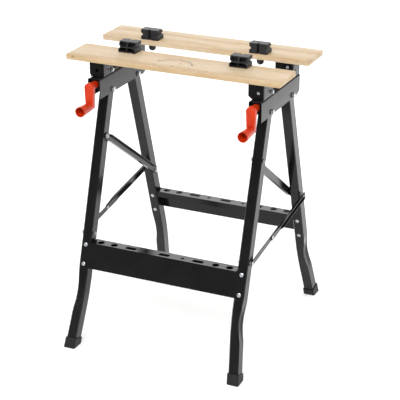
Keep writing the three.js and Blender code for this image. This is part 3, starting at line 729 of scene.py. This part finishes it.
def armOutline(s, inset):
    # two arcs joined by straight sides, drawn in by inset
    points = []
    for radius, height, first in ((s["armTop"], 0.0, 0), (s["armLow"], -s["throw"], 180)):
        for i in range(s["arcSteps"] + 1):
            angle = math.radians(first + 180 * i / s["arcSteps"])
            points.append(((radius - inset) * math.cos(angle), height + (radius - inset) * math.sin(angle)))
    return points


def mouldArm(work, centre, s):
    quarter = [math.radians(90 * i / s["edgeSteps"]) for i in range(s["edgeSteps"] + 1)]
    rounding = [(s["edge"] * (1 - math.sin(a)), s["edge"] * (1 - math.cos(a))) for a in quarter]
    stations = [(s["armFront"] + step, inset) for inset, step in rounding]
    stations += [(s["armRear"] - step, inset) for inset, step in reversed(rounding)]
    rows = []
    for y, inset in stations:
        rows.append([centre + Vector((x, y, z)) * mm for x, z in armOutline(s, inset)])
    addRings(work, rows)


def mouldCrank(hand, s):
    axis = middleOf(hand + "_spindle")
    centre = Vector((axis.x, 0.0, axis.z))
    along = Matrix.Translation(centre) @ Matrix.Rotation(math.radians(90), 4, "Z")
    grip = along @ Matrix.Translation((0, 0, -s["throw"] * mm))
    rear, front, ease = s["hubRear"], s["hubFront"], s["hubEase"]
    mouth, outer, lip = s["mouth"], s["mouthRadius"], s["wall"] / 2
    inner = outer - s["wall"]
    work = bmesh.new()
    turned(work, [(s["socketEnd"], s["socket"]), (rear, s["socket"]), (rear, s["hub"] - ease),
                  (rear - ease, s["hub"]), (front, s["hub"]), (front - ease, s["hubNose"])], along, s["sides"])
    mouldArm(work, centre, s)
    turned(work, [(s["armFront"] + s["rootSunk"], s["rootRadius"]), (mouth + s["flare"], outer - s["flareRise"]),
                  (mouth + lip, outer), (mouth + s["lipBack"] * lip, outer - s["lipIn"] * lip),
                  (mouth, outer - lip), (mouth + s["lipBack"] * lip, inner + s["lipIn"] * lip),
                  (mouth + lip, inner), (s["boreEnd"], s["boreRadius"])], grip, s["sides"])
    name = hand + "_crank"
    addPiece(name + "_moulding", work, finishes["orange_plastic"], hand + "_screw", [name])


for hand in hands:
    mouldCrank(hand, crankHandle)
print("cranks moulded")


# Protractor and rule on the front board, burnt into the surface; arcs as (radius, width, from, to), angles in
# degrees from +X. The rule has a tick every centimetre, and a longer one with a number every five.
benchScale = {"centre": (-3.0, -145.0), "bands": ((53.0, 4.2, 20, 160), (46.0, 0.8, 24, 156)), "arcSteps": 40,
              "strongBand": (53.0, 4.0, 20, 40), "strongLift": 0.12, "crossHalf": 3.5, "crossWidth": 2.2,
              "firstAngle": 30, "lastAngle": 150, "angleStep": 10, "numberedAngle": 30, "spokeFrom": 47.5,
              "spokeTo": 50.5, "numberRadius": 57.5, "rule": 250, "ruleStep": 10, "ruleLong": 50,
              "ruleY": -161.0, "line": 0.9, "short": 4.0, "long": 8.0, "numberGap": 1.2, "numberSize": 6.0,
              "numberCurve": 3, "samePoint": 0.001, "lift": 0.08, "depth": 0.3}


def markBar(work, s, start, end, width):
    # one straight mark, a thin closed bar let into the board top
    start, end = Vector((*start, 0)), Vector((*end, 0))
    ahead = (end - start).normalized()
    aside = Vector((-ahead.y, ahead.x, 0)) * width / 2
    corners = [start - aside, end - aside, end + aside, start + aside]
    levels = (-s["depth"], s["lift"])
    addRings(work, [[(c + Vector((0, 0, s["top"] + z))) * mm for c in corners] for z in levels])


def markArc(work, s, band, lift):
    radius, width, first, last = band
    rows = []
    for i in range(s["arcSteps"] + 1):
        angle = math.radians(first + (last - first) * i / s["arcSteps"])
        out = Vector((math.cos(angle), math.sin(angle), 0))
        ring = []
        for reach, level in ((-1, -s["depth"]), (1, -s["depth"]), (1, lift), (-1, lift)):
            spot = out * (radius + reach * width / 2) + Vector((*s["centre"], s["top"] + level))
            ring.append(spot * mm)
        rows.append(ring)
    addRings(work, rows)


def markNumber(work, s, number, spot, turn):
    # one number of the rule or the protractor, let into the board top like the marks
    drawn = bpy.data.curves.new("number", "FONT")
    drawn.body = str(number)
    drawn.size = s["numberSize"] * mm
    drawn.align_x = "CENTER"
    drawn.extrude = (s["depth"] + s["lift"]) / 2 * mm
    drawn.resolution_u = s["numberCurve"]
    holder = bpy.data.objects.new("number", drawn)
    flat = bpy.data.meshes.new_from_object(holder)
    middle = Vector((*spot, s["top"] + (s["lift"] - s["depth"]) / 2))
    flat.transform(Matrix.Translation(middle * mm) @ Matrix.Rotation(math.radians(turn), 4, "Z"))
    work.from_mesh(flat)
    for block, kind in ((holder, bpy.data.objects), (drawn, bpy.data.curves), (flat, bpy.data.meshes)):
        kind.remove(block)


def fromCentre(s, radius, degrees):
    x, y = s["centre"]
    angle = math.radians(degrees)
    return x + radius * math.cos(angle), y + radius * math.sin(angle)


def markScale(s):
    x, y = s["centre"]
    faint = bmesh.new()
    for band in s["bands"]:
        markArc(faint, s, band, s["lift"])
    addPiece("front_board_scale", faint, scaleMark, "top")
    strong = bmesh.new()
    markArc(strong, s, s["strongBand"], s["strongLift"])
    markBar(strong, s, (x - s["crossHalf"], y), (x + s["crossHalf"], y), s["crossWidth"])
    for tick in range(-s["rule"], s["rule"] + 1, s["ruleStep"]):
        reach = s["long"] if tick % s["ruleLong"] == 0 else s["short"]
        markBar(strong, s, (tick, s["ruleY"]), (tick, s["ruleY"] + reach), s["line"])
    for degrees in range(s["firstAngle"], s["lastAngle"] + 1, s["angleStep"]):
        markBar(strong, s, fromCentre(s, s["spokeFrom"], degrees), fromCentre(s, s["spokeTo"], degrees), s["line"])
    addPiece("front_board_scale_ticks", strong, tickMark, "top")
    numbers = bmesh.new()
    above = s["ruleY"] + s["long"] + s["numberGap"]
    for tick in range(-s["rule"], s["rule"] + 1, s["ruleLong"]):
        markNumber(numbers, s, (tick + s["rule"]) // s["ruleStep"], (tick, above), 0)
    for degrees in range(s["firstAngle"], s["lastAngle"] + 1, s["numberedAngle"]):
        markNumber(numbers, s, degrees, fromCentre(s, s["numberRadius"], degrees), degrees - 90)
    bmesh.ops.remove_doubles(numbers, verts=numbers.verts, dist=s["samePoint"] * mm)
    addPiece("front_board_scale_numbers", numbers, tickMark, "top")


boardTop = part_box("front_board")[1].z / mm
markScale({**benchScale, "top": boardTop})
print("board scale made")


# Plain pale studio: round floor, wide cloth overhead, soft panels in front, behind and to the right.
# Panels as (name, place, aim, size, watts, spread in degrees), in metres; the paper's pulp in millimetres.
studio = {"floor": "#fcfcfc", "floorShade": "#f8f8f8", "pulp": 400, "floorRadius": 24.0, "floorSides": 96,
          "horizon": 0.66, "air": 0.10, "haze": 0.30,
          "panels": (("skyCloth", (0.0, 0.0, 9.0), (0, 0, 0), (44.0, 44.0), 4900, 180),
                     ("highFront", (0.4, -3.1, 2.9), (0, 0, 0.5), (3.2, 1.8), 34, 80),
                     ("backWall", (-1.2, 4.0, 2.2), (0, 0, 0.5), (5.0, 2.8), 78, 180),
                     ("rightWall", (3.6, 2.0, 1.6), (0, 0, 0.5), (3.4, 2.6), 64, 180),
                     ("floorWash", (0.7, 2.0, 2.5), (0.7, 2.1, 0), (2.4, 1.6), 16, 90))}


def makePaper(s):
    # Paper sweep, matt white.
    material, tree = newMaterial("paper_sweep_matt_white")
    place = addNode(tree, "ShaderNodeTexCoord").outputs["Object"]
    pulp = addNode(tree, "ShaderNodeTexNoise", {"Scale": perMillimetre(s["pulp"])}, {"Vector": place})
    colour = addNode(tree, "ShaderNodeValToRGB", {"stops": [(0.3, s["floorShade"]), (0.7, s["floor"])]},
                     {"Fac": pulp.outputs["Fac"]})
    endMaterial(tree, {"Roughness": 0.9, "Specular IOR Level": 0.1}, {"Base Color": colour.outputs["Color"]})
    return material


def layFloor(s):
    work = bmesh.new()
    bmesh.ops.create_circle(work, cap_ends=True, segments=s["floorSides"], radius=s["floorRadius"])
    mesh = bpy.data.meshes.new("studioFloor")
    work.to_mesh(mesh)
    work.free()
    floor = bpy.data.objects.new("studioFloor", mesh)
    bpy.context.scene.collection.objects.link(floor)
    mesh.materials.append(makePaper(s))


def hangPanels(s):
    for name, place, aim, size, power, spread in s["panels"]:
        light = bpy.data.lights.new(name, "AREA")
        light.shape = "RECTANGLE"
        light.size, light.size_y = size
        light.energy = power
        light.spread = math.radians(spread)
        panel = bpy.data.objects.new(name, light)
        panel.location = place
        panel.rotation_euler = (Vector(aim) - Vector(place)).to_track_quat("-Z", "Y").to_euler()
        panel.visible_camera = False
        bpy.context.scene.collection.objects.link(panel)


def fillAir(s):
    # bright at the horizon, darker overhead
    world = bpy.data.worlds.new("studioAir")
    world.use_nodes = True
    sky = world.node_tree
    towards = addNode(sky, "ShaderNodeTexCoord")
    height = addNode(sky, "ShaderNodeSeparateXYZ", {}, {"Vector": towards.outputs["Generated"]})
    glow = addNode(sky, "ShaderNodeMapRange", {
        "From Min": 0.0, "From Max": s["haze"], "To Min": s["horizon"], "To Max": s["air"]},
        {"Value": height.outputs["Z"]})
    sky.nodes["Background"].inputs["Color"].default_value = (1, 1, 1, 1)
    sky.links.new(glow.outputs["Result"], sky.nodes["Background"].inputs["Strength"])
    bpy.context.scene.world = world
    bpy.context.scene.view_settings.view_transform = "Standard"


layFloor(studio)
hangPanels(studio)
fillAir(studio)


# Camera where the photograph was taken: right of the front, looking down.
view = {"place": (1.4422, -3.1397, 1.8141), "ahead": (-0.3825, 0.8392, -0.3866), "lens": 121.8,
        "sensor": 36.0}


def placeCamera(s):
    lens = bpy.data.cameras.new("photoView")
    lens.lens = s["lens"]
    lens.sensor_width = s["sensor"]
    camera = bpy.data.objects.new("photoView", lens)
    camera.location = s["place"]
    camera.rotation_euler = Vector(s["ahead"]).to_track_quat("-Z", "Y").to_euler()
    bpy.context.scene.collection.objects.link(camera)
    bpy.context.scene.camera = camera


placeCamera(view)
print("studio and camera placed")
